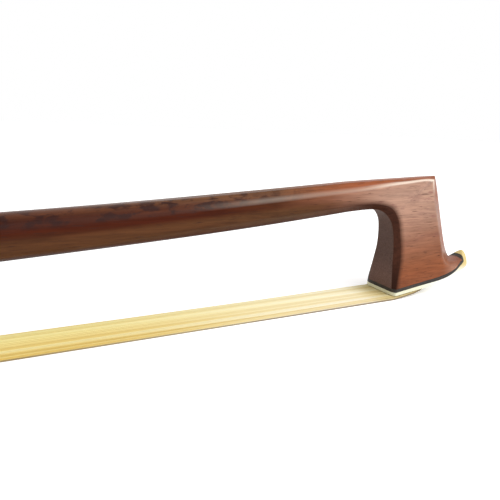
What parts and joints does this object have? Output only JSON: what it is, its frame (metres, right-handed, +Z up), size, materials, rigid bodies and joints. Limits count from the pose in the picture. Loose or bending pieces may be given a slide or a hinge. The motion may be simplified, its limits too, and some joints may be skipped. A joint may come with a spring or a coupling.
{
  "type": "violin bow",
  "caption": "Wooden violin bow with a cambered stick, plated head, ribbon of horsehair, ebony frog on a screw, and an eight-sided end button.",
  "frame": {"origin": "middle of the bow's footprint, on the surface that it stands on with the hair down", "axes": "+X from the button to the tip of the head, +Z up from the hair to the stick, +Y across the hair"},
  "size_m": [0.7408, 0.0132, 0.0293],
  "materials": {
    "stick_wood": "thin satin varnish over reddish brown wood",
    "blackwood": "polished black wood",
    "liner_black": "thin black wood veneer",
    "ivory_white": "smooth ivory-coloured plate",
    "plug_wood": "plain soft wood",
    "horsehair": "unbleached horsehair, cream yellow",
    "thread": "waxed red thread",
    "nickel_silver": "polished silvery alloy",
    "pearl": "pearl shell",
    "brass": "plain turned brass",
    "steel": "bright steel",
    "leather": "dark brown leather",
    "lapping_brown": "dark band of the lapping",
    "lapping_cream": "light band of the lapping"
  },
  "bodies": {
    "stick": {"stick": "stick_wood", "head_liner": "liner_black", "head_plate": "ivory_white", "head_wedge": "plug_wood", "head_binding": "thread", "hair_head_end": "horsehair", "hair_ribbon": "horsehair", "lapping_dark": "lapping_brown", "lapping_light": "lapping_cream", "thumb_leather": "leather"},
    "frog": {"frog": "blackwood", "underslide": "nickel_silver", "underslide_pin_rear": "nickel_silver", "underslide_pin_front": "nickel_silver", "ferrule": "nickel_silver", "pearl_slide": "pearl", "slide_backing": "blackwood", "heel_plate_upper": "nickel_silver", "heel_plate_lower": "nickel_silver", "heel_pin_upper": "nickel_silver", "heel_pin_middle": "nickel_silver", "heel_pin_lower": "nickel_silver", "frog_wedge": "plug_wood", "spread_wedge": "plug_wood", "hair_frog_end": "horsehair", "frog_binding": "thread", "eye_near": "pearl", "eye_far": "pearl", "eye_ring_near": "nickel_silver", "eye_ring_far": "nickel_silver", "eyelet": "brass"},
    "button": {"adjusting_screw": "steel", "button_core": "blackwood", "button_collar": "nickel_silver", "button_cap": "nickel_silver", "button_pearl": "pearl", "button_pin_front": "nickel_silver", "button_pin_rear": "nickel_silver"}
  },
  "joints": [
    {"name": "button_turn", "type": "hinge", "parent": "stick", "child": "button", "pos_m": [-0.35551, 0, 0.02388], "axis": [1, 0, 0], "range_deg": [-3300, 900]},
    {"name": "frog_slide", "type": "slide", "parent": "stick", "child": "frog", "axis": [1, 0, 0], "range_m": [-0.0015, 0.0055], "deforming": ["hair_ribbon"]}
  ],
  "couplings": [
    {"joint": "button_turn", "follows": "frog_slide", "rad_per_m": -10472}
  ]
}
